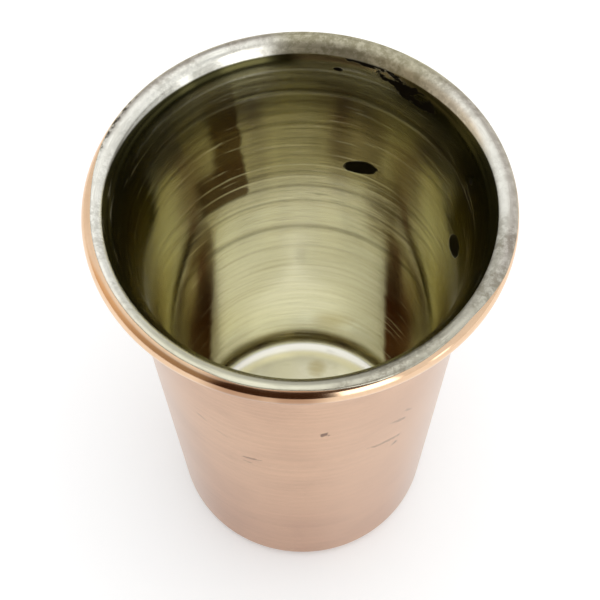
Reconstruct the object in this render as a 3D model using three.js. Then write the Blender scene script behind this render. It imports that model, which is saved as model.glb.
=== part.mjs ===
// A copper shot glass lined with tin: one spun copper sheet and the coat wiped over its inside.
// Millimetres, +Z up. The cup stands on z = 0 with its axis on Z.
import * as THREE from 'three';

// Driving dimensions of the copper sheet
const HEIGHT = 64; // standing plane to the crest of the lip
const BASE_DIAMETER = 33.3; // wall line carried down to the standing plane
const WALL_TOP_DIAMETER = 37.4; // outside of the wall where the flare starts
const SHEET = 1; // thickness of the copper all over
const CORNER_RADIUS = 2.6; // outside of the bend from floor to wall
const LIP_RISE = 11; // height of the flare, from the top of the straight wall to the crest
const LIP_REACH = 3.8; // how far the lip stands out from the top of the straight wall
const BEAD_DIAMETER = 2.4; // the round bead that the sheet's edge is rolled into
const RING_WIDTH = 1.6; // flat ring that the cup stands on
const FLOOR_RAISE = 0.8; // how far the middle of the floor is pushed up inside that ring
const RAISE_RADIUS = 6; // the two bends between the ring and the raised floor

// Driving dimension of the tin coat
const TIN = 0.15; // thickness on the floor and wall

// Facets
const AROUND = 64; // round the axis
const BEND_STEPS = 4; // along each bend of the floor and the corner
const FLARE_STEPS = 6;
const BEAD_STEPS = 4; // along each quarter of the bead

// A station is a point on the outer face of the sheet with the direction of the inside, as an angle
// in the section plane: 90 degrees is straight up, 180 degrees is straight towards the axis.
const RIGHT_ANGLE = Math.PI / 2;

function station(r, z, inward) {
  return { r, z, inward };
}

// The point at a depth measured from the outer face of the sheet towards the inside of the cup.
function pointAt({ r, z, inward }, depth) {
  return new THREE.Vector2(r + depth * Math.cos(inward), z + depth * Math.sin(inward));
}

// Stations along an arc whose centre lies on the inside (sign 1) or the outside (sign -1) of the sheet.
function bend(centre, radius, sign, from, to, steps) {
  return Array.from({ length: steps + 1 }, (_, i) => {
    const inward = THREE.MathUtils.lerp(from, to, i / steps);
    return station(
      centre.x - sign * radius * Math.cos(inward),
      centre.y - sign * radius * Math.sin(inward),
      inward,
    );
  });
}

// The wall is a straight line, leaning out by the lean angle.
const flareStart = HEIGHT - LIP_RISE;
const lean = Math.atan2((WALL_TOP_DIAMETER - BASE_DIAMETER) / 2, flareStart);
const wallInward = Math.PI - lean;

// The bend between floor and wall touches the standing plane and the wall line.
const cornerCentre = new THREE.Vector2(
  BASE_DIAMETER / 2 + CORNER_RADIUS * (Math.tan(lean) - 1 / Math.cos(lean)),
  CORNER_RADIUS,
);
const cornerStations = bend(cornerCentre, CORNER_RADIUS, 1, RIGHT_ANGLE, wallInward, BEND_STEPS);

// The floor: raised middle, two opposite bends, then the flat ring that the cup stands on.
const ringInside = cornerCentre.x - RING_WIDTH;
const raiseAngle = Math.acos(1 - FLOOR_RAISE / (2 * RAISE_RADIUS));
const raisedRadius = ringInside - 2 * RAISE_RADIUS * Math.sin(raiseAngle);
const floorStations = [
  station(0, FLOOR_RAISE, RIGHT_ANGLE),
  ...bend(
    new THREE.Vector2(raisedRadius, FLOOR_RAISE - RAISE_RADIUS),
    RAISE_RADIUS, -1, RIGHT_ANGLE, RIGHT_ANGLE - raiseAngle, BEND_STEPS,
  ),
  ...bend(
    new THREE.Vector2(ringInside, RAISE_RADIUS),
    RAISE_RADIUS, 1, RIGHT_ANGLE - raiseAngle, RIGHT_ANGLE, BEND_STEPS,
  ).slice(1),
];

// The bead has the crest and the widest point of the cup on it.
const beadRadius = BEAD_DIAMETER / 2;
const beadCentre = new THREE.Vector2(
  WALL_TOP_DIAMETER / 2 + LIP_REACH - beadRadius,
  HEIGHT - beadRadius,
);

// The flare: the inner face leaves the wall along an arc that runs on into the bead without a corner.
const outward = new THREE.Vector2(Math.cos(lean), -Math.sin(lean));
const flareFoot = pointAt(station(WALL_TOP_DIAMETER / 2, flareStart, wallInward), SHEET);
const fromBead = flareFoot.clone().sub(beadCentre);
const flareRadius = (beadRadius ** 2 - fromBead.lengthSq()) / (2 * (fromBead.dot(outward) + beadRadius));
const flareCentre = flareFoot.clone().addScaledVector(outward, flareRadius);
const beadInward = beadCentre.clone().sub(flareCentre).angle();

// The outer face of the flare ends in the crease below the bead.
const outerRadius = flareRadius - SHEET;
const beadReach = flareRadius - beadRadius;
const creaseTurn = Math.acos(
  (beadReach ** 2 + outerRadius ** 2 - beadRadius ** 2) / (2 * beadReach * outerRadius),
);

function flareTo(inward) {
  return bend(flareCentre, outerRadius, -1, wallInward, inward, FLARE_STEPS);
}

const innerStations = [...floorStations, ...cornerStations, ...flareTo(beadInward)];
const outerStations = [...floorStations, ...cornerStations, ...flareTo(beadInward + creaseTurn)];

// The bead in section, from the flare's inner face over the crest and round to the crease.
function beadPoint(angle, proud = 0) {
  const reach = beadRadius + proud;
  return new THREE.Vector2(
    beadCentre.x + reach * Math.cos(angle),
    beadCentre.y + reach * Math.sin(angle),
  );
}

function anglesBetween(from, to, steps) {
  return Array.from({ length: steps - 1 }, (_, i) => THREE.MathUtils.lerp(from, to, (i + 1) / steps));
}

const crest = beadPoint(RIGHT_ANGLE);
const crease = pointAt(outerStations.at(-1), 0);
const creaseAngle = crease.clone().sub(beadCentre).angle() - 2 * Math.PI;
const innerBeadAngles = anglesBetween(beadInward, RIGHT_ANGLE, BEAD_STEPS);
const outerBeadAngles = anglesBetween(RIGHT_ANGLE, creaseAngle, 3 * BEAD_STEPS);

// The tin thins out over the inner side of the bead and ends at the crest.
function tinOverBead(angle) {
  const left = (angle - RIGHT_ANGLE) / (beadInward - RIGHT_ANGLE);
  return TIN * left * left;
}

// The face that the copper and the tin share, from the floor's middle to the crest.
const sharedFace = [
  ...innerStations.map((place) => pointAt(place, SHEET)),
  ...innerBeadAngles.map((angle) => beadPoint(angle)),
  crest,
];

const copperProfile = [
  ...outerStations.map((place) => pointAt(place, 0)),
  ...outerBeadAngles.map((angle) => beadPoint(angle)).reverse(),
  ...sharedFace.toReversed(),
];

const tinProfile = [
  ...sharedFace,
  ...innerBeadAngles.map((angle) => beadPoint(angle, tinOverBead(angle))).reverse(),
  ...innerStations.map((place) => pointAt(place, SHEET + TIN)).reverse(),
];

// A solid of revolution about Z. The lathe turns about Y, so the result is tipped up.
function turned(name, profile, material) {
  const onAxis = profile.map((point) => new THREE.Vector2(Math.max(point.x, 0), point.y));
  const geometry = new THREE.LatheGeometry(onAxis, AROUND);
  geometry.rotateX(RIGHT_ANGLE);
  const mesh = new THREE.Mesh(geometry, material);
  mesh.name = name;
  return mesh;
}

const copper = new THREE.MeshStandardMaterial({ color: 0xd9a67f, metalness: 1, roughness: 0.28 });
const tin = new THREE.MeshStandardMaterial({ color: 0xd8d2bd, metalness: 1, roughness: 0.32 });

const shotGlass = new THREE.Group();
shotGlass.add(turned('copper_body', copperProfile, copper));
shotGlass.add(turned('tin_lining', tinProfile, tin));

export default shotGlass;
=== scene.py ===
"""A copper shot glass lined with tin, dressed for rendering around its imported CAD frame."""

import math

import bpy
import numpy as np
from mathutils import Matrix, Vector


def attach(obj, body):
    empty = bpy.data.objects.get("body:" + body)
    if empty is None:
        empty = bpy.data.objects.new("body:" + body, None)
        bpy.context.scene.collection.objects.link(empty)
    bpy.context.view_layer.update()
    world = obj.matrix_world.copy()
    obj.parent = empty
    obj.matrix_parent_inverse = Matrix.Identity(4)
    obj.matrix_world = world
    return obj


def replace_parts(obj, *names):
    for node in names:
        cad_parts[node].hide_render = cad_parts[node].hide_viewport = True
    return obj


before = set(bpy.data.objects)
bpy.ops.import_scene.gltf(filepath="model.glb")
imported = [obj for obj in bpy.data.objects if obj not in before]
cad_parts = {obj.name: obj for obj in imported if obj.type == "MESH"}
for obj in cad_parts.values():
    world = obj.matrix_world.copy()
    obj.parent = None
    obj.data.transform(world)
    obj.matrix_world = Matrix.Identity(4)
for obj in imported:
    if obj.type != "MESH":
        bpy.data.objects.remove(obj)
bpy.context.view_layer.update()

# Sizes of the copper in millimetres, the same as in the CAD source
HEIGHT = 64.0
BASE_DIAMETER = 33.3
WALL_TOP_DIAMETER = 37.4
SHEET = 1.0
CORNER_RADIUS = 2.6
LIP_RISE = 11.0
LIP_REACH = 3.8
BEAD_RADIUS = 1.2
RING_WIDTH = 1.6
FLOOR_RAISE = 0.8
RAISE_RADIUS = 6.0
BEAD_INSET = 0.05  # how far the bead is drawn inside its full size, to leave room for the tin on it
BEAD_RUN_IN = 1.5  # length of the flare's inner face over which that inset grows and the tin thins
BEAD_RUN_OUT = 1.0  # length of the flare's outer face over which the inset fades

# Sizes of the tin in millimetres
TIN = 0.15  # thickness on the wall
LIP_TIN = 0.03  # thickness on the bead
TIN_SEAT = 0.03  # how far the back of the coat lies inside the copper
TIN_FEATHER = 0.25  # length over which its edge on the lip thins out
TIN_FLOOR = 1.95  # level of the tin that pooled on the floor
POOL_EDGE = 6.0  # radius of the pooled tin where it starts to climb
POOL_TURN = math.radians(20.0)  # how far it climbs at that radius
TIN_FILLET = 1.0  # radius of the pooled tin from there up to the wall

# The wall's foot, top and lean
BASE_RADIUS = BASE_DIAMETER / 2
WALL_TOP_RADIUS = WALL_TOP_DIAMETER / 2
FLARE_START = HEIGHT - LIP_RISE
LEAN = math.atan2(WALL_TOP_RADIUS - BASE_RADIUS, FLARE_START)
RIGHT_ANGLE = math.pi / 2

# Mesh density
MM = 0.001
COLUMNS = 256
SKIN_STEP = 0.02  # spacing of the section line that the rows are taken from
POLE_GAP = 0.4  # radius of the copper's rows next to the axis

AZIMUTH = np.linspace(0.0, 2.0 * math.pi, COLUMNS, endpoint=False)


# The section line of the copper sheet

def arc(centre, radius, start, end):
    """Points of an arc with their outward normal angles. A negative radius is a hollow arc."""
    steps = max(2, int(abs(radius * (end - start)) / SKIN_STEP))
    normal = np.linspace(start, end, steps + 1)
    return np.column_stack([
        centre[0] + radius * np.cos(normal),
        centre[1] + radius * np.sin(normal),
        normal,
    ])


def sheet_arcs():
    """The arcs of the section, from the floor inside, over the lip, to the floor underneath."""
    wall = math.pi - LEAN
    corner_x = BASE_RADIUS + CORNER_RADIUS * (math.tan(LEAN) - 1 / math.cos(LEAN))
    corner = np.array([corner_x, CORNER_RADIUS])
    ring_inside = corner_x - RING_WIDTH
    raise_turn = math.acos(1 - FLOOR_RAISE / (2 * RAISE_RADIUS))
    raised = np.array([
        ring_inside - 2 * RAISE_RADIUS * math.sin(raise_turn),
        FLOOR_RAISE - RAISE_RADIUS,
    ])
    ring = np.array([ring_inside, RAISE_RADIUS])
    bead = np.array([WALL_TOP_RADIUS + LIP_REACH - BEAD_RADIUS, HEIGHT - BEAD_RADIUS])
    outward = np.array([math.cos(LEAN), -math.sin(LEAN)])
    foot = np.array([WALL_TOP_RADIUS, FLARE_START]) - SHEET * outward
    span = foot - bead
    flare_radius = (BEAD_RADIUS ** 2 - span @ span) / (2 * (span @ outward + BEAD_RADIUS))
    flare = foot + outward * flare_radius
    bead_start = math.atan2(bead[1] - flare[1], bead[0] - flare[0])
    outer_radius = flare_radius - SHEET
    reach = flare_radius - BEAD_RADIUS
    crease_turn = math.acos(
        (reach ** 2 + outer_radius ** 2 - BEAD_RADIUS ** 2) / (2 * reach * outer_radius))
    crease_side = bead_start + crease_turn
    crease = flare + outer_radius * np.array([math.cos(crease_side), math.sin(crease_side)])
    bead_end = math.atan2(crease[1] - bead[1], crease[0] - bead[0])
    return [
        arc(raised, RAISE_RADIUS + SHEET, RIGHT_ANGLE, RIGHT_ANGLE - raise_turn),
        arc(ring, SHEET - RAISE_RADIUS, RIGHT_ANGLE - raise_turn, RIGHT_ANGLE),
        arc(corner, SHEET - CORNER_RADIUS, RIGHT_ANGLE, wall),
        arc(flare, flare_radius, wall, bead_start),
        arc(bead, BEAD_RADIUS, bead_start, RIGHT_ANGLE),
        arc(bead, BEAD_RADIUS, RIGHT_ANGLE, bead_end),
        arc(flare, -outer_radius, crease_side - math.pi, wall - math.pi),
        arc(corner, CORNER_RADIUS, wall - math.pi, -RIGHT_ANGLE),
        arc(ring, RAISE_RADIUS, -RIGHT_ANGLE, -RIGHT_ANGLE - raise_turn),
        arc(raised, -RAISE_RADIUS, -RIGHT_ANGLE - raise_turn, -RIGHT_ANGLE),
    ]


ARCS = sheet_arcs()
SKIN = np.concatenate([
    [[0.0, FLOOR_RAISE + SHEET, RIGHT_ANGLE]],
    *ARCS,
    [[0.0, FLOOR_RAISE, -RIGHT_ANGLE]],
])
SKIN_LENGTH = np.concatenate([[0.0], np.cumsum(np.hypot(*np.diff(SKIN[:, :2], axis=0).T))])


def last_point_of(arcs):
    """Index in the section line of the last point of that many arcs."""
    return sum(len(piece) for piece in ARCS[:arcs])


# Lengths along the section at which its stretches end
FLOOR_END = SKIN_LENGTH[last_point_of(2)]
CORNER_END = SKIN_LENGTH[last_point_of(3)]
WALL_TOP = SKIN_LENGTH[last_point_of(3) + 1]
FLARE_END = SKIN_LENGTH[last_point_of(4)]
CREST = SKIN_LENGTH[last_point_of(5)]
BEAD_END = SKIN_LENGTH[last_point_of(6)]
OUTER_FLARE_END = SKIN_LENGTH[last_point_of(7)]
OUTER_CORNER_END = SKIN_LENGTH[last_point_of(8)]
SKIN_END = SKIN_LENGTH[-1]


def skin(length, proud=0.0):
    """Radius and height at a length along the copper's section, lifted off it by proud."""
    normal = np.interp(length, SKIN_LENGTH, SKIN[:, 2])
    on_bead = np.interp(
        length,
        [FLARE_END - BEAD_RUN_IN, FLARE_END, BEAD_END, BEAD_END + BEAD_RUN_OUT],
        [0.0, 1.0, 1.0, 0.0],
    )
    lift = proud - BEAD_INSET * on_bead
    radius = np.interp(length, SKIN_LENGTH, SKIN[:, 0]) + lift * np.cos(normal)
    height = np.interp(length, SKIN_LENGTH, SKIN[:, 1]) + lift * np.sin(normal)
    return radius, height


def rows(*stretches):
    """Lengths along the section: each stretch is (start, end, spacing)."""
    parts = [
        np.linspace(start, end, max(2, round((end - start) / spacing)), endpoint=False)
        for start, end, spacing in stretches
    ]
    return np.concatenate([*parts, [stretches[-1][1]]])


# Turned meshes

def turned_points(radius, height):
    """Points in metres of a grid with one row for each profile point and one column for each azimuth."""
    return np.stack([
        radius * np.cos(AZIMUTH),
        radius * np.sin(AZIMUTH),
        height * np.ones(COLUMNS),
    ], axis=-1) * MM


def grid_faces(count):
    """Quads between that many rows of a turned grid."""
    column = np.arange(COLUMNS)
    following = np.roll(column, -1)
    faces = []
    for row in range(count - 1):
        low = row * COLUMNS
        high = low + COLUMNS
        faces.append(np.column_stack([low + column, low + following, high + following, high + column]))
    return np.concatenate(faces).tolist()


def pole_faces(pole, first, upward):
    """Triangles between a pole vertex and the ring that starts at the first index."""
    column = first + np.arange(COLUMNS)
    following = np.roll(column, -1)
    pair = (column, following) if upward else (following, column)
    return np.column_stack([np.full(COLUMNS, pole), *pair]).tolist()


def new_object(name, points, faces, material):
    mesh = bpy.data.meshes.new(name)
    mesh.from_pydata(points.tolist(), [], faces)
    mesh.shade_smooth()
    mesh.materials.append(material)
    piece = bpy.data.objects.new(name, mesh)
    bpy.context.scene.collection.objects.link(piece)
    return piece


def closed_turning(name, points, pole_heights, material):
    """An object from a turned grid, closed by a fan of triangles to a pole on the axis at each end."""
    count = len(points)
    pole = count * COLUMNS
    faces = grid_faces(count)
    faces += pole_faces(pole, 0, True)
    faces += pole_faces(pole + 1, pole - COLUMNS, False)
    poles = np.array([[0.0, 0.0, height] for height in pole_heights]) * MM
    return new_object(name, np.concatenate([points.reshape(-1, 3), poles]), faces, material)


def add_attribute(piece, name, values):
    """A number for each vertex, which the material reads by name."""
    layer = piece.data.attributes.new(name, "FLOAT", "POINT")
    layer.data.foreach_set("value", np.asarray(values, dtype=np.float32))


def copper_shell(material):
    """The copper sheet as one closed turned mesh."""
    low_wall = OUTER_CORNER_END - 5.0  # the outer corner starts a little below it
    length = rows(
        (POLE_GAP, FLOOR_END, 0.6),
        (FLOOR_END, CORNER_END, 0.25),
        (CORNER_END, WALL_TOP, 1.0),
        (WALL_TOP, FLARE_END, 0.4),
        (FLARE_END, BEAD_END, 0.08),
        (BEAD_END, OUTER_FLARE_END, 0.25),
        (OUTER_FLARE_END, low_wall, 1.0),
        (low_wall, OUTER_CORNER_END, 0.2),
        (OUTER_CORNER_END, SKIN_END - POLE_GAP, 0.5),
    )[:, None]
    points = turned_points(*skin(length))
    return closed_turning("copper_shell", points, (FLOOR_RAISE + SHEET, FLOOR_RAISE), material)


# Rings that the spinning tool left in the tin: height, width and depth in millimetres, and how much painted
# shade the ring gets in its groove. Depth and darkness are less than 0 for a ridge, which gets a painted
# glint.
RINGS = np.array([
    [62.4, 0.16, 0.014, 0.30],
    [61.6, 0.20, 0.014, 0.30],
    [60.9, 0.18, -0.006, -0.20],
    [60.4, 0.15, 0.010, 0.20],
    [59.5, 0.18, 0.012, 0.25],
    [58.35, 0.24, 0.032, 0.70],
    [57.85, 0.19, -0.016, -0.40],
    [56.7, 0.20, 0.010, 0.20],
    [55.3, 0.25, 0.012, 0.25],
    [53.35, 0.30, 0.016, 0.35],
    [52.6, 0.20, -0.003, -0.09],
    [50.5, 0.25, 0.008, 0.17],
    [45.2, 0.18, -0.007, -0.20],
    [44.0, 0.30, 0.010, 0.22],
    [42.8, 0.22, -0.007, -0.20],
    [41.1, 0.35, 0.010, 0.35],
    [38.0, 0.28, 0.007, 0.22],
    [32.2, 0.55, 0.006, 0.50],
    [27.9, 0.25, 0.005, 0.12],
])
RING_DEPTH = RINGS[:, 2]
RING_DARKNESS = RINGS[:, 3]

# How far the tin runs past the crest of the lip: turn round the rim in degrees, and millimetres
TIN_EDGE = np.array([
    [-180, 0.10], [-165, 0.12], [-137, 0.16], [-128, 0.25], [-115, 0.30], [-106, 0.45],
    [-98, 0.40], [-90, 0.35], [-82, 0.50], [-70, 0.68], [-60, 0.68], [-50, 0.50],
    [-40, 0.40], [-32, 0.70], [-24, 1.10], [0, 1.30], [40, 1.40], [80, 1.40],
    [110, 1.30], [140, 1.10], [155, 0.90], [165, 0.50], [175, 0.20], [180, 0.10],
])


def over_rings(height, amounts):
    """The sum of the rings' amounts at a height, each falling off over its ring's width."""
    total = np.zeros_like(height)
    for (level, width, *_), amount in zip(RINGS, amounts):
        total += amount * np.exp(-((height - level) / width) ** 2)
    return total


def ringed_rows(start, end):
    """Lengths along the section that lie closer together across each ring."""
    fine_step = 0.05
    plain_step = 0.7
    ring_reach = 2.4  # in widths of the ring
    ring_step = 0.5  # in widths of the ring
    fine = np.arange(start, end, fine_step)
    height = np.interp(fine, SKIN_LENGTH, SKIN[:, 1])
    step = np.full(len(fine), plain_step)
    for level, width, *_ in RINGS:
        near = abs(height - level) < ring_reach * width
        step[near] = np.minimum(step[near], ring_step * width)
    count = np.cumsum(fine_step / step)
    return np.interp(np.arange(count[-1]), count, fine)


def pooled_floor():
    """Radius, height and matching length of the tin's surface over the floor and up the fillet."""
    first_row = 0.5
    row_step = 0.6
    climb_rows = 14
    fillet_rows = 18
    climb = np.linspace(0.0, POOL_TURN, climb_rows)
    turn = np.linspace(POOL_TURN, RIGHT_ANGLE - LEAN, fillet_rows)[1:]
    level = TIN_FLOOR + POOL_EDGE * (1 - math.cos(POOL_TURN)) + TIN_FILLET * math.cos(POOL_TURN)
    wall = BASE_RADIUS * math.cos(LEAN) - SHEET - TIN
    centre = (wall - TIN_FILLET + level * math.sin(LEAN)) / math.cos(LEAN)
    pool = centre - (POOL_EDGE - TIN_FILLET) * math.sin(POOL_TURN)
    flat = np.arange(first_row, pool, row_step)
    radius = np.concatenate([
        flat,
        pool + POOL_EDGE * np.sin(climb),
        centre + TIN_FILLET * np.sin(turn),
    ])
    height = np.concatenate([
        np.full(len(flat), TIN_FLOOR),
        TIN_FLOOR + POOL_EDGE * (1 - np.cos(climb)),
        level - TIN_FILLET * np.cos(turn),
    ])
    top = CORNER_END + height[-1] - np.interp(CORNER_END, SKIN_LENGTH, SKIN[:, 1])
    length = np.interp(radius, [0.0, radius[-1]], [0.0, top])
    return radius[:, None], height[:, None], length[:, None]


def tin_end():
    """Length along the section at which the tin ends, for each azimuth."""
    turn = (np.degrees(AZIMUTH) + 180.0) % 360.0 - 180.0
    return CREST + np.interp(turn, TIN_EDGE[:, 0], TIN_EDGE[:, 1])


def tin_coat(material):
    """The tin as a closed turned skin that ends in a feathered, wandering edge on the lip."""
    lip_rows = 40
    back_wall_step = 6  # the back of the coat has one row for this many of the front
    back_lip_step = 4
    first_wall_row = 0.2  # above the fillet
    fullness = 0.6  # less than 1 for a blunter edge
    lip_start = FLARE_END - 2.0
    around = np.ones(COLUMNS)
    floor_radius, floor_height, floor_length = pooled_floor()
    wall = ringed_rows(floor_length[-1, 0] + first_wall_row, lip_start)[:-1, None] * around
    end = tin_end()
    over_lip = lip_start + (end - lip_start) * np.linspace(0.0, 1.0, lip_rows)[:, None]
    length = np.concatenate([wall, over_lip])
    thick = np.interp(length, [FLARE_END - BEAD_RUN_IN, FLARE_END], [TIN, LIP_TIN])
    thick *= np.clip((end - length) / TIN_FEATHER, 0.0, 1.0) ** fullness
    _, height = skin(length)
    front = np.concatenate([
        turned_points(floor_radius, floor_height),
        turned_points(*skin(length, thick - over_rings(height, RING_DEPTH))),
    ])
    length = np.concatenate([floor_length * around, length])
    first_lip_row = len(length) - lip_rows
    sparse = np.concatenate([
        np.arange(0, first_lip_row, back_wall_step),
        np.arange(first_lip_row, len(length) - 1, back_lip_step),
    ])
    back_length = length[sparse][::-1]
    back = turned_points(*skin(back_length, -TIN_SEAT))
    points = np.concatenate([front, back])
    piece = closed_turning("tin_coat", points, (TIN_FLOOR, FLOOR_RAISE + SHEET - TIN_SEAT), material)
    along = np.concatenate([length, back_length]) - CREST
    add_attribute(piece, "along", np.append(along, [-CREST, -CREST]))
    groove = over_rings(points[..., 2] / MM, RING_DARKNESS)
    add_attribute(piece, "groove", np.append(groove, [0.0, 0.0]))
    return piece


# Materials

class Nodes:
    """Short calls that build a node tree. Each takes numbers or sockets and gives back a socket."""

    def __init__(self, tree):
        self.tree = tree

    def put(self, socket, value):
        if isinstance(value, bpy.types.NodeSocket):
            self.tree.links.new(value, socket)
        else:
            socket.default_value = value

    def new(self, kind, values=(), **settings):
        """A node, which this call gives back instead of a socket."""
        node = self.tree.nodes.new(kind)
        for name, value in settings.items():
            setattr(node, name, value)
        for index, value in enumerate(values):
            self.put(node.inputs[index], value)
        return node

    def math(self, operation, *values):
        return self.new("ShaderNodeMath", values, operation=operation).outputs[0]

    def total(self, first, *others):
        for other in others:
            first = self.math("ADD", first, other)
        return first

    def product(self, first, *others):
        for other in others:
            first = self.math("MULTIPLY", first, other)
        return first

    def most(self, first, *others):
        for other in others:
            first = self.math("MAXIMUM", first, other)
        return first

    def ramp(self, value, low, high, to_low=0.0, to_high=1.0):
        """A smooth step from to_low at low to to_high at high."""
        node = self.new("ShaderNodeMapRange", interpolation_type="SMOOTHSTEP")
        for name, number in zip(
            ("Value", "From Min", "From Max", "To Min", "To Max"), (value, low, high, to_low, to_high)
        ):
            self.put(node.inputs[name], number)
        return node.outputs["Result"]

    def window(self, value, rise, fall):
        """1 in between: it rises from 0 over the first pair of values and falls to 0 over the second."""
        return self.product(self.ramp(value, *rise), self.ramp(value, fall[1], fall[0]))

    def blend(self, share, first, second):
        """A number that goes from first to second with the share."""
        return self.ramp(share, 0.0, 1.0, first, second)

    def mix(self, share, first, second):
        """A colour that goes from first to second with the share."""
        node = self.new("ShaderNodeMix", data_type="RGBA")
        self.put(node.inputs["Factor"], share)
        self.put(node.inputs["A"], first)
        self.put(node.inputs["B"], second)
        return node.outputs["Result"]

    def noise(self, vector, detail, roughness):
        node = self.new("ShaderNodeTexNoise")
        self.put(node.inputs["Vector"], vector)
        self.put(node.inputs["Scale"], 1.0)
        self.put(node.inputs["Detail"], detail)
        self.put(node.inputs["Roughness"], roughness)
        return node.outputs["Fac"]

    def attribute(self, name, output="Fac"):
        return self.new("ShaderNodeAttribute", attribute_name=name).outputs[output]

    def bumped(self, height, distance):
        """A normal that follows a height, which is measured in that distance in metres."""
        bump = self.new("ShaderNodeBump")
        self.put(bump.inputs["Height"], height)
        bump.inputs["Distance"].default_value = distance
        return bump.outputs[0]

    def seen_directly(self):
        """1 for what the camera sees by itself, in metal or through glass."""
        path = self.new("ShaderNodeLightPath").outputs
        return self.most(path["Is Camera Ray"], path["Is Glossy Ray"], path["Is Transmission Ray"])


def new_material(name):
    material = bpy.data.materials.new(name)
    material.use_nodes = True
    tree = material.node_tree
    shader = tree.nodes["Principled BSDF"]
    return material, Nodes(tree), shader


DEGREES = 180.0 / math.pi
MARK_RADIUS = 18.0  # of the wall that oval marks are measured on
MARK_EDGE = (1.15, 0.85)  # where an oval mark starts and is full, in its half sizes squared
FLOOR_MARK_EDGE = (2.0, 0.3)  # the same for a soft mark on the floor


class Cup:
    """Places on the cup for its materials, in millimetres and degrees. Turn 0 is right and -90 in front."""

    def __init__(self, nodes):
        self.nodes = nodes
        scaled = nodes.new("ShaderNodeVectorMath", operation="SCALE")
        nodes.put(scaled.inputs["Vector"], nodes.new("ShaderNodeTexCoord").outputs["Object"])
        scaled.inputs["Scale"].default_value = 1.0 / MM
        self.place = scaled.outputs[0]
        self.x, self.y, self.z = nodes.new("ShaderNodeSeparateXYZ", [self.place]).outputs
        self.radius = nodes.math("SQRT", self.square_sum(self.x, self.y))
        self.turn = nodes.product(nodes.math("ARCTAN2", self.y, self.x), DEGREES)
        self.profile = nodes.math("SUBTRACT", self.z, self.radius)

    def square_sum(self, first, second):
        nodes = self.nodes
        return nodes.total(nodes.product(first, first), nodes.product(second, second))

    def streaks(self, around, across, shift=0.0):
        """Noise coordinates drawn out round the axis: sizes in millimetres round it and along the section."""
        nodes = self.nodes
        return nodes.new("ShaderNodeCombineXYZ", [
            nodes.product(self.x, 1.0 / around),
            nodes.product(self.y, 1.0 / around),
            nodes.math("MULTIPLY_ADD", self.profile, 1.0 / across, shift),
        ]).outputs[0]

    def grain(self, size, shift=0.0):
        """Even noise coordinates with features of about that size in millimetres."""
        node = self.nodes.new("ShaderNodeVectorMath", operation="MULTIPLY_ADD")
        self.nodes.put(node.inputs[0], self.place)
        node.inputs[1].default_value = (1.0 / size,) * 3
        node.inputs[2].default_value = (shift,) * 3
        return node.outputs[0]

    def patch(self, turns, heights, soft_turns, soft_heights, wobble, slant=0.0):
        """1 inside a patch of the wall, whose sides lean by slant degrees of turn for each millimetre up.

        Each pair of numbers is for the low and the high side.
        """
        nodes = self.nodes
        middle = sum(heights) / 2
        leaning = nodes.math("MULTIPLY_ADD", self.z, slant, -slant * middle)
        turn = nodes.math("SUBTRACT", self.turn, leaning)
        shares = []
        for value, ends, soft in ((turn, turns, soft_turns), (self.z, heights, soft_heights)):
            low, high = ((end - reach, end + reach) for end, reach in zip(ends, soft))
            shares.append(nodes.window(nodes.total(value, wobble), low, high))
        return nodes.product(*shares)

    def spot(self, turn, height, half_width, half_height, tilt, ragged):
        """1 inside an oval mark on the wall.

        It takes the mark's middle, its half sizes in millimetres and its tilt in degrees.
        """
        nodes = self.nodes
        cos = math.cos(math.radians(tilt))
        sin = math.sin(math.radians(tilt))
        across = nodes.product(nodes.math("SUBTRACT", self.turn, turn), MARK_RADIUS / DEGREES)
        up = nodes.math("SUBTRACT", self.z, height)
        along = nodes.total(nodes.product(across, cos), nodes.product(up, sin))
        over = nodes.math("SUBTRACT", nodes.product(up, cos), nodes.product(across, sin))
        along = nodes.product(along, 1.0 / half_width)
        over = nodes.product(over, 1.0 / half_height)
        return nodes.ramp(nodes.total(self.square_sum(along, over), ragged), *MARK_EDGE)

    def any_spot(self, spots, ragged):
        """1 inside any of the oval marks."""
        return self.nodes.most(*(self.spot(*spot, ragged) for spot in spots))

    def spot_on_floor(self, x, y, half_size, ragged):
        """1 near a place on the floor, falling off softly."""
        nodes = self.nodes
        reach = self.square_sum(nodes.math("SUBTRACT", self.x, x), nodes.math("SUBTRACT", self.y, y))
        reach = nodes.product(reach, 1.0 / half_size ** 2)
        return nodes.ramp(nodes.total(reach, ragged), *FLOOR_MARK_EDGE)


def turned_finish(nodes, shader, anisotropic):
    """Metal that is sharp along the turning lines and blurred across them."""
    shader.inputs["Metallic"].default_value = 1.0
    shader.inputs["Anisotropic"].default_value = anisotropic
    shader.inputs["Anisotropic Rotation"].default_value = 0.25
    tangent = nodes.new("ShaderNodeTangent", direction_type="RADIAL", axis="Z")
    nodes.put(shader.inputs["Tangent"], tangent.outputs[0])


# Colours and finish of the copper. A pair is where it is clean and where it is dulled.
COPPER_UPPER = ((0.665, 0.43, 0.285, 1.0), (0.47, 0.28, 0.185, 1.0))
# The lower pair is darker: painted shade for the shadowed floor that the copper reflects near its foot
COPPER_LOWER_SHADED = ((0.565, 0.34, 0.222, 1.0), (0.40, 0.22, 0.145, 1.0))
COPPER_BEAD = ((0.87, 0.62, 0.42, 1.0), (0.68, 0.43, 0.25, 1.0))
# Painted sheen: paler copper on the front right stands for a soft highlight
COPPER_SHEEN = (0.70, 0.485, 0.355, 1.0)
# Painted reflection: paler copper at both sides, for the white surroundings seen at a grazing angle
COPPER_PALE_REFLECTION = (0.66, 0.555, 0.49, 1.0)
COPPER_NICK = (0.14, 0.07, 0.04, 1.0)
COPPER_PIT = (0.25, 0.13, 0.085, 1.0)
# Painted dark reflection along the front of the bead
COPPER_DARK_REFLECTION = (0.34, 0.17, 0.09, 1.0)
COPPER_ANISOTROPY = 0.6
COPPER_ROUGHNESS = 0.27
BEAD_ROUGHNESS = 0.13
COPPER_LINE_DEPTH = 4e-6  # in metres

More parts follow.
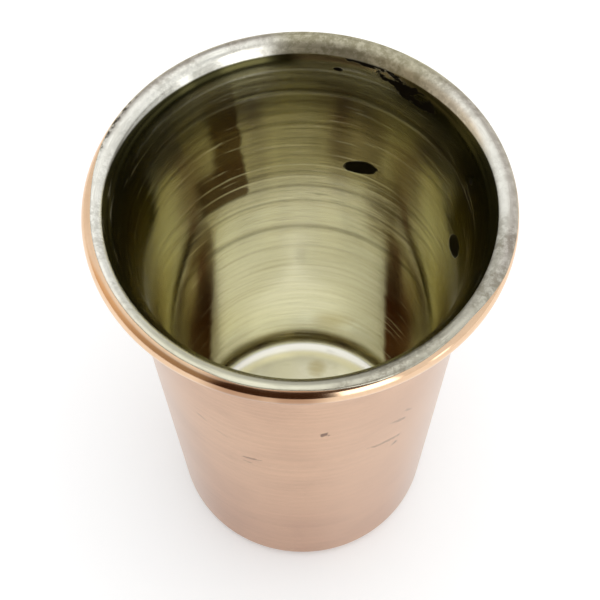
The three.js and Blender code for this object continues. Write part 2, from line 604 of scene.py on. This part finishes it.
# Nicks and scratches in the copper: turn, height, half width, half height and tilt, as Cup.spot takes them,
# and how dark they are
COPPER_MARKS = (
    (-82.5, 45.5, 0.45, 0.50, 0.0, 0.85),
    (-109.0, 36.3, 1.15, 0.26, 8.0, 0.55),
    (-110.8, 34.9, 0.60, 0.20, -10.0, 0.45),
    (-127.8, 42.3, 0.60, 0.20, -25.0, 0.35),
    (-119.0, 40.6, 1.00, 0.18, -30.0, 0.20),
    (-58.5, 36.8, 2.20, 0.35, -18.0, 0.40),
    (-54.0, 34.5, 0.40, 0.40, 0.0, 0.45),
    (-53.3, 41.2, 1.30, 0.30, -35.0, 0.40),
    (-50.0, 42.6, 0.80, 0.22, -50.0, 0.30),
)


def copper_wall(cup, dull, speckle):
    """Darker towards the foot with painted shade, a painted sheen on the right, paler at both sides with a
    painted reflection, nicked and pitted.
    """
    nodes = cup.nodes
    # painted shade: the copper darkens towards the foot
    painted_shade_downwards = nodes.ramp(cup.z, 40.0, 3.0)
    wall = nodes.mix(painted_shade_downwards, nodes.mix(dull, *COPPER_UPPER), nodes.mix(dull, *COPPER_LOWER_SHADED))
    # painted sheen on the front right
    wear_and_sheen = nodes.window(cup.turn, (-92.0, -70.0), (0.0, 40.0))
    wall = nodes.mix(nodes.product(wear_and_sheen, 0.3), wall, COPPER_SHEEN)
    # painted reflection: both sides paler, where the copper is seen at a grazing angle
    sideways = nodes.math("ARCTAN2", cup.y, nodes.math("ABSOLUTE", cup.x))
    pale_reflection = nodes.window(nodes.product(sideways, DEGREES), (-55.0, -23.0), (-8.0, 30.0))
    wall = nodes.mix(nodes.product(pale_reflection, 0.55), wall, COPPER_PALE_REFLECTION)
    ragged = nodes.math("MULTIPLY_ADD", speckle, 6.0, -3.0)
    for *place, darkness in COPPER_MARKS:
        wall = nodes.mix(nodes.product(cup.spot(*place, ragged), darkness), wall, COPPER_NICK)
    pits = nodes.ramp(speckle, 0.74, 0.80, to_high=0.6)
    return nodes.mix(pits, wall, COPPER_PIT)


def copper_bead(cup, dull, clouds):
    """Bright, with a painted dark reflection of the dark side of the room along the front."""
    nodes = cup.nodes
    # painted dark reflection along the front of the bead
    front = nodes.window(cup.turn, (-119.0, -108.0), (-90.0, -80.0))
    painted_dark_patches = nodes.product(front, nodes.ramp(clouds, 0.3, 0.5, 0.4, 0.8))
    return nodes.mix(painted_dark_patches, nodes.mix(dull, *COPPER_BEAD), COPPER_DARK_REFLECTION)


def copper_material():
    material, nodes, shader = new_material("spun_copper")
    cup = Cup(nodes)
    lines = nodes.noise(cup.streaks(60.0, 0.45), 4.0, 0.7)
    clouds = nodes.noise(cup.grain(9.0), 3.0, 0.5)
    speckle = nodes.noise(cup.grain(0.5, 2.0), 3.0, 0.6)
    dull = nodes.total(
        nodes.ramp(lines, 0.35, 0.68, to_high=0.24),
        nodes.ramp(clouds, 0.4, 0.65, to_high=0.26),
        nodes.ramp(speckle, 0.45, 0.7, to_high=0.12),
    )
    bead_foot = HEIGHT - 2.0 * BEAD_RADIUS
    on_bead = nodes.ramp(cup.z, bead_foot - 0.2, bead_foot + 0.2)
    colour = nodes.mix(on_bead, copper_wall(cup, dull, speckle), copper_bead(cup, dull, clouds))
    turned_finish(nodes, shader, COPPER_ANISOTROPY)
    nodes.put(shader.inputs["Base Color"], colour)
    nodes.put(shader.inputs["Roughness"], nodes.blend(on_bead, COPPER_ROUGHNESS, BEAD_ROUGHNESS))
    nodes.put(shader.inputs["Normal"], nodes.bumped(lines, COPPER_LINE_DEPTH))
    return material


# Colours and finish of the tin inside the cup. A pair is where it is clean and where it is dulled.
TIN_LOW = ((0.865, 0.85, 0.705, 1.0), (0.69, 0.66, 0.49, 1.0))
TIN_HIGH_BEHIND = ((0.62, 0.575, 0.355, 1.0), (0.40, 0.355, 0.19, 1.0))
# Painted highlight: the high wall at both sides is lighter than clean tin
TIN_HIGH_BESIDE_HIGHLIGHT = ((0.92, 0.94, 0.87, 1.0), (0.69, 0.70, 0.58, 1.0))
TIN_FLARE_BEHIND = ((0.52, 0.48, 0.28, 1.0), (0.28, 0.245, 0.11, 1.0))
# Painted dark reflection in the flare and below it at both sides
TIN_FLARE_BESIDE_DARK_REFLECTION = ((0.11, 0.10, 0.04, 1.0), (0.06, 0.055, 0.02, 1.0))
# Painted shade in the corner above the pooled tin
TIN_CORNER_SHADE = (0.26, 0.21, 0.09, 1.0)
TIN_HAIR = (0.88, 0.86, 0.74, 1.0)
# Painted glint on the ridges
TIN_RIDGE_GLINT = (0.90, 0.88, 0.72, 1.0)
# Grime in hair lines, and painted shade in the rings' grooves
TIN_GRIME_AND_RING_SHADE = (0.14, 0.115, 0.05, 1.0)
# Painted dark reflection in a band below the lip
TIN_UNDER_LIP_DARK_REFLECTION = (0.07, 0.065, 0.025, 1.0)
TIN_BARE = (0.010, 0.008, 0.005, 1.0)
TIN_EDGE_TINT = (0.80, 0.76, 0.54, 1.0)  # at a grazing angle
TIN_ANISOTROPY = 0.9

# Colours of the tin pooled on the floor
POOL_CLEAN = (1.0, 0.99, 0.93, 1.0)
POOL_EDGED = (0.83, 0.81, 0.72, 1.0)
POOL_CREAM = (1.0, 0.98, 0.85, 1.0)
POOL_SMUDGE = (0.66, 0.59, 0.38, 1.0)
POOL_HEIGHTS = (2.5, 2.25)  # where the wall's finish ends and the pool's starts

# Colours of the tin on the lip. A pair is where it is clean and where it is mottled.
# LIP_INNER is clean tin made brighter as a painted highlight
LIP_INNER = (0.94, 0.93, 0.85, 1.0)
LIP_INNER_FRONT = (0.74, 0.72, 0.56, 1.0)
LIP_WORN = (0.50, 0.48, 0.40, 1.0)
LIP_MOTTLE = (0.30, 0.275, 0.21, 1.0)
# The outer half is partly tarnish and partly a painted darker reflection
LIP_OUTER = ((0.60, 0.56, 0.50, 1.0), (0.34, 0.30, 0.25, 1.0))
LIP_BACK = ((0.60, 0.565, 0.42, 1.0), (0.36, 0.33, 0.22, 1.0))
LIP_STAIN = (0.06, 0.05, 0.045, 1.0)

# Dark patches of the tin, partly tarnish and partly painted dark reflections of the room: turns, heights,
# softness of their sides, slant, colour and strength
DARK_PATCHES = (
    ((113.0, 125.0), (46.0, 59.0), (1.0, 2.5), (2.0, 4.0), 0.0, (0.12, 0.07, 0.02, 1.0), 0.92),
    ((112.0, 135.0), (40.5, 48.5), (1.0, 3.0), (1.0, 2.0), 0.0, (0.10, 0.05, 0.018, 1.0), 0.9),
    ((138.3, 166.0), (4.0, 34.0), (2.2, 8.0), (4.0, 8.0), -0.55, (0.24, 0.17, 0.075, 1.0), 0.8),
    ((141.5, 160.0), (2.0, 25.0), (2.0, 6.0), (2.0, 6.0), -0.55, (0.09, 0.005, 0.003, 1.0), 0.95),
    ((131.0, 147.0), (33.0, 39.0), (2.0, 4.0), (1.0, 1.5), 0.0, (0.16, 0.10, 0.035, 1.0), 0.7),
    ((17.0, 45.3), (4.0, 36.0), (8.0, 2.2), (4.0, 7.0), 0.3, (0.24, 0.17, 0.08, 1.0), 0.8),
    ((24.0, 43.5), (2.0, 26.0), (6.0, 2.0), (2.0, 6.0), 0.3, (0.13, 0.018, 0.010, 1.0), 0.95),
    ((47.0, 61.0), (34.0, 46.0), (2.0, 5.0), (2.0, 2.0), 0.0, (0.20, 0.14, 0.06, 1.0), 0.6),
    ((56.0, 78.0), (46.0, 57.0), (3.0, 5.0), (1.5, 4.0), 0.0, (0.16, 0.10, 0.035, 1.0), 0.55),
    ((70.0, 85.0), (46.0, 60.0), (3.0, 3.0), (2.0, 3.0), 0.0, (0.20, 0.16, 0.07, 1.0), 0.3),
)

# Bare marks and specks on the tin, and the stain below the lip: turn, height, half width, half height and
# tilt, as Cup.spot takes them
BARE_MARKS = (
    (65.2, 46.6, 2.4, 1.15, -23.0),
    (8.5, 50.0, 2.4, 1.35, -60.0),
    (76.9, 61.3, 0.5, 0.2, 0.0),
    (14.1, 59.9, 0.4, 0.35, 0.0),
)
STAIN = (
    (57.0, 62.0, 2.4, 0.60, 5.0),
    (49.0, 61.5, 2.8, 0.85, 0.0),
    (66.5, 62.6, 2.6, 0.28, 0.0),
)


class TinnedCup(Cup):
    """The places and the noise that the parts of the tin's material share."""

    def __init__(self, nodes):
        super().__init__(nodes)
        self.along = nodes.attribute("along")  # millimetres past the crest of the lip
        self.groove = nodes.attribute("groove")  # the darkness of the rings
        self.lines = nodes.noise(self.streaks(16.0, 0.7), 5.0, 0.7)
        self.bands = nodes.noise(self.streaks(40.0, 2.5, 3.0), 3.0, 0.6)
        self.hairs = nodes.noise(self.streaks(7.0, 0.4, 11.0), 4.0, 0.65)
        self.clouds = nodes.noise(self.grain(6.0), 4.0, 0.6)
        self.speckle = nodes.noise(self.grain(0.9, 5.0), 4.0, 0.7)
        self.wobble = nodes.math("MULTIPLY_ADD", self.bands, 5.0, -2.5)


def tin_tones(cup):
    """Lighter tin low down and darker higher up; at both sides, a painted highlight high on the wall and
    painted dark reflections in the flare and below it.
    """
    nodes = cup.nodes
    dull = nodes.total(
        nodes.ramp(cup.lines, 0.42, 0.68, to_high=0.6),
        nodes.ramp(cup.bands, 0.5, 0.75, to_high=0.25),
    )
    # painted highlight high up at both sides
    highlight_beside = nodes.mix(dull, *TIN_HIGH_BESIDE_HIGHLIGHT)
    high = nodes.mix(nodes.ramp(cup.y, 4.0, 14.0), highlight_beside, nodes.mix(dull, *TIN_HIGH_BEHIND))
    # painted dark reflection at both sides of the flare and below it
    dark_reflection_beside = nodes.mix(dull, *TIN_FLARE_BESIDE_DARK_REFLECTION)
    flare = nodes.mix(nodes.ramp(cup.y, 6.0, 17.0), dark_reflection_beside, nodes.mix(dull, *TIN_FLARE_BEHIND))
    colour = nodes.mix(nodes.ramp(cup.z, 39.0, 46.0), nodes.mix(dull, *TIN_LOW), high)
    wander = nodes.math("MULTIPLY_ADD", cup.lines, 14.0, -7.0)
    turn = nodes.total(nodes.math("ABSOLUTE", cup.turn), wander)
    far_side = nodes.most(nodes.ramp(turn, 154.0, 161.0), nodes.ramp(turn, 26.0, 12.0))
    below_flare = nodes.ramp(cup.z, 48.5, 52.0)
    colour = nodes.mix(nodes.product(far_side, below_flare), colour, dark_reflection_beside)
    return nodes.mix(nodes.ramp(cup.along, -12.5, -5.0), colour, flare)


def painted_dark_patches(cup, colour):
    """The dark patches, partly tarnish and partly painted dark reflections, and a band of painted shade in
    the corner above the pooled tin.
    """
    nodes = cup.nodes
    for turns, heights, soft_turns, soft_heights, slant, patch_colour, strength in DARK_PATCHES:
        # each patch is partly tarnish and partly a painted dark reflection
        patch = cup.patch(turns, heights, soft_turns, soft_heights, cup.wobble, slant)
        colour = nodes.mix(nodes.product(patch, strength), colour, patch_colour)
    # painted shade in the corner above the pooled tin
    corner = nodes.window(cup.z, (2.35, 3.1), (4.2, 6.5))
    return nodes.mix(nodes.product(corner, 0.85), colour, TIN_CORNER_SHADE)


def pooled(cup):
    """The pool on the floor, duller along its edge, with a cream patch and a smudge."""
    nodes = cup.nodes
    colour = nodes.mix(nodes.ramp(cup.radius, 11.0, 13.5), POOL_CLEAN, POOL_EDGED)
    colour = nodes.mix(cup.spot_on_floor(-3.0, 11.0, 3.0, cup.lines), colour, POOL_CREAM)
    smudge = nodes.product(cup.spot_on_floor(2.2, 11.2, 1.5, cup.lines), 0.8)
    return nodes.mix(smudge, colour, POOL_SMUDGE)


def scratches_and_painted_rings(cup, colour):
    """Bright hair lines, most of them in a rubbed patch, grime in other lines, painted shade in the rings and
    a painted glint on the ridges.
    """
    nodes = cup.nodes
    wear_and_sheen = cup.patch((45.0, 84.0), (35.0, 45.0), (8.0, 8.0), (2.0, 1.5), cup.wobble)
    above = nodes.math("SUBTRACT", cup.hairs, nodes.blend(wear_and_sheen, 0.59, 0.49))
    colour = nodes.mix(nodes.ramp(above, 0.0, 0.08, to_high=0.6), colour, TIN_HAIR)
    upwards = nodes.ramp(cup.z, 28.0, 44.0, 0.12, 0.5)
    grime = nodes.product(nodes.ramp(cup.hairs, 0.40, 0.32), upwards)
    # painted shade in the rings' grooves, strongest at the back
    grooved = nodes.product(cup.groove, nodes.ramp(cup.y, 3.0, 11.0, 0.15, 1.0))
    colour = nodes.mix(nodes.most(grime, grooved), colour, TIN_GRIME_AND_RING_SHADE)
    # painted glint on the ridges
    ridge_glint = nodes.product(
        nodes.ramp(cup.groove, -0.05, -0.2),
        nodes.ramp(cup.bands, 0.35, 0.6, 0.2, 0.8),
        nodes.ramp(cup.y, 5.0, 14.0),
    )
    return nodes.mix(ridge_glint, colour, TIN_RIDGE_GLINT)


def under_lip_dark_reflection(cup):
    """1 on the painted dark reflection in a band below the lip, which the right side and the back left have.
    """
    nodes = cup.nodes
    left = nodes.window(cup.turn, (86.0, 94.0), (165.0, 178.0))
    right = nodes.window(cup.turn, (-30.0, -10.0), (48.0, 66.0))
    return nodes.most(
        nodes.product(left, nodes.ramp(cup.along, -4.2, -2.8)),
        nodes.product(right, nodes.ramp(cup.along, -6.0, -3.6)),
    )


def inside_colour(cup):
    nodes = cup.nodes
    colour = painted_dark_patches(cup, tin_tones(cup))
    colour = nodes.mix(nodes.ramp(cup.z, *POOL_HEIGHTS), colour, pooled(cup))
    return nodes.mix(under_lip_dark_reflection(cup), scratches_and_painted_rings(cup, colour), TIN_UNDER_LIP_DARK_REFLECTION)


def bare_marks(cup):
    """1 on the bare marks and specks, and on the broken stain below the lip."""
    nodes = cup.nodes
    ragged = nodes.math("SUBTRACT", cup.speckle, 0.5)
    torn = nodes.product(ragged, 2.6)
    holes = nodes.ramp(nodes.noise(cup.streaks(3.0, 0.4, 9.0), 4.0, 0.65), 0.36, 0.45)
    return nodes.most(cup.any_spot(BARE_MARKS, ragged), nodes.product(cup.any_spot(STAIN, torn), holes))


def lip_colour(cup):
    """A bright inner half, partly a painted highlight, a mottled outer half, partly tarnish and partly a
    painted darker reflection, a dull stretch at the back right and a stained edge.
    """
    nodes = cup.nodes
    fine = nodes.noise(cup.streaks(6.0, 0.35, 4.0), 4.0, 0.7)
    blotches = nodes.product(nodes.ramp(cup.clouds, 0.35, 0.6), nodes.ramp(cup.speckle, 0.35, 0.6))
    mottle = nodes.most(blotches, nodes.ramp(fine, 0.5, 0.65, to_high=0.6))
    inner = nodes.mix(nodes.ramp(cup.y, -8.0, -18.0), LIP_INNER, LIP_INNER_FRONT)
    worn = nodes.window(cup.turn, (-100.0, -70.0), (-25.0, 5.0))
    inner = nodes.mix(nodes.product(worn, 0.75), inner, LIP_WORN)
    inner = nodes.mix(nodes.product(mottle, nodes.blend(worn, 0.4, 0.9)), inner, LIP_MOTTLE)
    edge = nodes.total(cup.along, nodes.math("MULTIPLY_ADD", cup.clouds, 0.8, -0.4))
    around = nodes.window(cup.turn, (-35.0, -15.0), (150.0, 168.0))
    outside = nodes.product(nodes.ramp(edge, -0.5, 0.4), around)
    colour = nodes.mix(outside, inner, nodes.mix(mottle, *LIP_OUTER))
    back = nodes.window(cup.turn, (32.0, 55.0), (90.0, 102.0))
    colour = nodes.mix(back, colour, nodes.mix(mottle, *LIP_BACK))
    stain = nodes.product(
        nodes.window(cup.turn, (138.0, 148.0), (162.0, 170.0)),
        nodes.ramp(cup.speckle, 0.46, 0.58),
        nodes.ramp(cup.along, 0.1, 0.5),
    )
    return nodes.mix(stain, colour, LIP_STAIN)


def inside_roughness(cup, bare):
    """Smoothest in the middle of the wall, rougher above and below it, and matt on the bare marks."""
    nodes = cup.nodes
    rough = nodes.ramp(cup.z, 36.0, 46.0, 0.1, 0.19)
    rough = nodes.ramp(cup.z, 9.0, 5.0, rough, 0.22)
    pool = nodes.ramp(cup.radius, 3.0, 8.0, 0.27, 0.13)
    rough = nodes.ramp(cup.z, *POOL_HEIGHTS, rough, pool)
    return nodes.blend(bare, rough, 0.5)


def lip_roughness(cup):
    """Matt from the front right round to the back, brighter on the left, and cloudy all round."""
    nodes = cup.nodes
    matt = nodes.window(cup.turn, (-60.0, -25.0), (80.0, 125.0))
    return nodes.total(nodes.blend(matt, 0.21, 0.34), nodes.ramp(cup.clouds, 0.3, 0.7, -0.04, 0.08))


def tin_relief(cup):
    """The height in metres of the fine lines and broad bands, which fade near the floor."""
    nodes = cup.nodes
    height = nodes.total(nodes.product(cup.lines, 1e-5), nodes.product(cup.bands, 2e-5))
    return nodes.product(height, nodes.ramp(cup.z, 3.0, 10.0, 0.1, 1.0))


def tin_material():
    material, nodes, shader = new_material("wiped_tin")
    cup = TinnedCup(nodes)
    inward = nodes.ramp(cup.y, 0.0, 20.0, 0.0, 0.85)  # the lip's finish reaches further in at the back
    lip = nodes.ramp(nodes.total(cup.along, inward), -1.35, -1.1)
    bare = bare_marks(cup)
    inside = nodes.mix(bare, inside_colour(cup), TIN_BARE)
    turned_finish(nodes, shader, TIN_ANISOTROPY)
    shader.inputs["Specular Tint"].default_value = TIN_EDGE_TINT
    nodes.put(shader.inputs["Base Color"], nodes.mix(lip, inside, lip_colour(cup)))
    nodes.put(shader.inputs["Roughness"], nodes.blend(lip, inside_roughness(cup, bare), lip_roughness(cup)))
    nodes.put(shader.inputs["Normal"], nodes.bumped(tin_relief(cup), 1.0))
    return material


# Studio

FLOOR_HALF = 2.0  # metres
FLOOR_COLOUR = (0.855, 0.865, 0.87, 1.0)
FLOOR_GLOW = 0.26
DOME_RADIUS = 0.6  # metres
LIGHT_LEAN = 0.06  # how far the light from overhead leans to the right
LIGHT_FOCUS = 4.0  # how closely it gathers overhead
LIGHT_LEVEL = 3.0  # its strength straight overhead

# How bright the studio's wall and ceiling look, by degrees to the right of the camera
WALL_TONES = np.array([
    [-180, 0.50], [-140, 0.85], [-110, 0.95], [-85, 0.70], [-65, 0.45], [-45, 0.35],
    [0, 0.3], [40, 0.9], [70, 0.9], [100, 0.8], [130, 0.9], [180, 0.50],
])
CEILING_TONES = np.array([
    [-180, 1.05], [-140, 1.0], [-90, 0.92], [-40, 0.85], [0, 0.7],
    [40, 0.5], [60, 0.6], [94, 0.78], [130, 0.95], [180, 1.05],
])
OVERHEAD_TONE = 1.05
DARK_PANEL = np.array([0.075, 0.04, 0.02])
BRIGHT_PANEL = 2.0
BROWN_LOSS = np.array([0.0, 0.25, 0.5])  # what the brown stretch of the wall takes from red, green and blue


def floor_material():
    material, nodes, shader = new_material("white_floor")
    tree = nodes.tree
    tree.nodes.remove(shader)
    paper = nodes.new("ShaderNodeBsdfDiffuse", [FLOOR_COLOUR])
    glow = nodes.new("ShaderNodeEmission")
    nodes.put(glow.inputs["Strength"], nodes.product(nodes.seen_directly(), FLOOR_GLOW))
    both = nodes.new("ShaderNodeAddShader", [paper.outputs[0], glow.outputs[0]])
    nodes.put(tree.nodes["Material Output"].inputs["Surface"], both.outputs[0])
    return material


def white_floor():
    corners = np.array([[-1, -1, 0], [1, -1, 0], [1, 1, 0], [-1, 1, 0]]) * FLOOR_HALF
    new_object("floor", corners, [[0, 1, 2, 3]], floor_material())


def smooth(value, low, high):
    """A smooth step from 0 at low to 1 at high."""
    share = np.clip((value - low) / (high - low), 0.0, 1.0)
    return share * share * (3.0 - 2.0 * share)


def between(value, low, high, soft):
    """1 between low and high, falling to 0 over the soft width outside each."""
    return smooth(value, low - soft, low) * (1.0 - smooth(value, high, high + soft))


def room_tones(side, rise):
    """What the studio shows at a side (degrees to the right of the camera) and a rise, as linear colour."""
    wall = np.interp(side, WALL_TONES[:, 0], WALL_TONES[:, 1])
    ceiling = np.interp(side, CEILING_TONES[:, 0], CEILING_TONES[:, 1])
    ceiling += (OVERHEAD_TONE - ceiling) * smooth(rise, 64.0, 76.0)
    tone = wall + (ceiling - wall) * smooth(rise, 40.0, 58.0)
    upright = between(side, -33.0, 8.0, 6.0) * (1.0 - smooth(rise, 56.0, 64.0))
    crosswise = between(side, -36.0, 38.0, 5.0) * between(rise, 42.0, 60.0, 5.0)
    dark = np.maximum(upright, crosswise)[..., None]
    near = between(side, 17.0, 36.0, 4.0) * between(rise, -4.0, 36.0, 5.0)
    far = between(side, 54.0, 60.0, 2.0) * between(rise, 1.0, 7.0, 3.0)
    bright = np.maximum(near, far)[..., None]
    brown = between(side, -95.0, -40.0, 15.0) * (1.0 - smooth(rise, 35.0, 50.0))
    colour = tone[..., None] * (1.0 - brown[..., None] * BROWN_LOSS)
    return colour * (1.0 - dark) + dark * DARK_PANEL + bright * BRIGHT_PANEL


def room_material():
    material, nodes, shader = new_material("room")
    tree = nodes.tree
    tree.nodes.remove(shader)
    glow = nodes.new("ShaderNodeEmission", [nodes.attribute("tone", "Color")])
    nodes.put(tree.nodes["Material Output"].inputs["Surface"], glow.outputs[0])
    material.cycles.emission_sampling = "NONE"
    return material


def room_dome():
    """The studio round the cup, which only the metal shows.

    It has a pale ceiling, dull walls, and dark and bright panels.
    """
    sides = np.linspace(-180.0, 180.0, 241)
    rises = np.linspace(-4.0, 90.0, 95)
    side, rise = np.meshgrid(sides, rises)
    turn = np.radians(side - 90.0)
    lift = np.radians(rise)
    points = DOME_RADIUS * np.stack([
        np.cos(lift) * np.cos(turn),
        np.cos(lift) * np.sin(turn),
        np.sin(lift),
    ], axis=-1) + [0.0, 0.0, HEIGHT * MM]
    across = side.shape[1]
    corner = np.arange(side.size - across).reshape(-1, across)[:, :-1].ravel()
    faces = np.column_stack([corner, corner + 1, corner + across + 1, corner + across]).tolist()
    piece = new_object("room", points.reshape(-1, 3), faces, room_material())
    colour = np.concatenate([room_tones(side, rise), np.ones((*side.shape, 1))], axis=-1)
    layer = piece.data.attributes.new("tone", "FLOAT_COLOR", "POINT")
    layer.data.foreach_set("color", colour.astype(np.float32).ravel())
    piece.visible_camera = False
    piece.visible_diffuse = False
    piece.visible_shadow = False


def place_camera():
    """The camera at the photograph's viewing angle. Its distance is from the middle of the mouth."""
    distance = 138.0
    elevation = math.radians(56.625)
    aim = Vector((-0.12, 0.0, 42.58)) * MM
    roll = math.radians(-0.665)
    camera = bpy.data.cameras.new("camera")
    camera.sensor_width = 36.0
    camera.lens = 80.95
    camera.clip_start = 0.005
    holder = bpy.data.objects.new("camera", camera)
    bpy.context.scene.collection.objects.link(holder)
    place = Vector((0.0, -distance * math.cos(elevation), HEIGHT + distance * math.sin(elevation))) * MM
    turn = (aim - place).to_track_quat("-Z", "Y").to_matrix() @ Matrix.Rotation(roll, 3, "Z")
    holder.matrix_world = Matrix.Translation(place) @ turn.to_4x4()
    bpy.context.scene.camera = holder


def white_world():
    """White where it is seen, and a soft light from overhead for the floor."""
    world = bpy.data.worlds.new("white_world")
    world.use_nodes = True
    nodes = Nodes(world.node_tree)
    background = world.node_tree.nodes["Background"]
    background.inputs["Color"].default_value = (1.0, 1.0, 1.0, 1.0)
    direction = nodes.new("ShaderNodeTexCoord").outputs["Generated"]
    right, _, up = nodes.new("ShaderNodeSeparateXYZ", [direction]).outputs
    leaning = nodes.most(nodes.math("MULTIPLY_ADD", right, LIGHT_LEAN, up), 0.0)
    overhead = nodes.product(nodes.math("POWER", leaning, LIGHT_FOCUS), LIGHT_LEVEL)
    nodes.put(background.inputs["Strength"], nodes.blend(nodes.seen_directly(), overhead, 1.0))
    bpy.context.scene.world = world


white_world()
white_floor()
room_dome()
place_camera()

copper = copper_shell(copper_material())
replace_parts(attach(copper, "root"), "copper_body")

tin = tin_coat(tin_material())
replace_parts(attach(tin, "root"), "tin_lining")

scene = bpy.context.scene
scene.view_settings.view_transform = "Standard"
scene.cycles.max_bounces = 24
scene.cycles.glossy_bounces = 20
